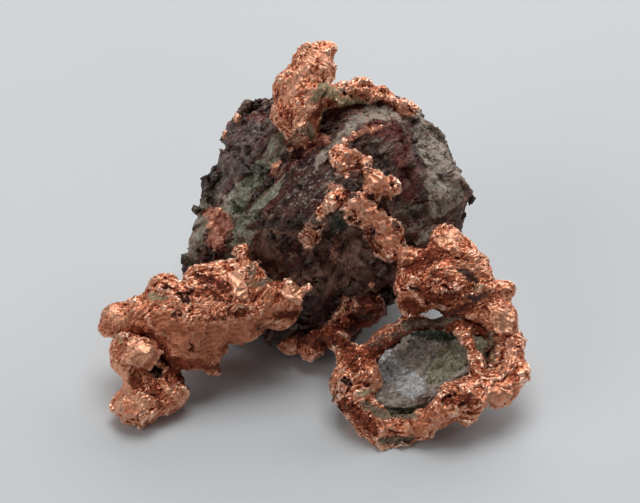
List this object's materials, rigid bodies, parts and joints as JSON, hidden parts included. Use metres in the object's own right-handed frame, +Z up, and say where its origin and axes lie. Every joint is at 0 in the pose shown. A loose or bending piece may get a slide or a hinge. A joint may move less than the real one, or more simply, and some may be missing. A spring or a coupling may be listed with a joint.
{
  "type": "native copper nugget",
  "caption": "Native copper grown through dark altered basalt: an upright horn, a branched limb at the left, and a spongy mass at the right with a cage round a milky quartz pocket.",
  "frame": {"origin": "on the table, under the middle of the nugget's bounding box", "axes": "+X along the longest extent, from the left foot to the cage; +Z up; -Y towards the best face"},
  "size_m": [0.061, 0.0472, 0.0373],
  "materials": {
    "native_copper": "hackly natural copper, bright on the ridges, darker orange-red in the hollows",
    "altered_basalt": "rough broken rock, purple-brown to grey with green and pale bands",
    "milky_quartz": "milky, slightly waxy crystal faces"
  },
  "bodies": {
    "root": {"matrix_rock": "altered_basalt", "quartz_pocket": "milky_quartz", "copper_horn": "native_copper", "copper_left_arm": "native_copper", "copper_left_leg": "native_copper", "copper_right_arm": "native_copper", "copper_ring": "native_copper", "copper_face_vein": "native_copper", "copper_base_band": "native_copper"}
  },
  "joints": []
}
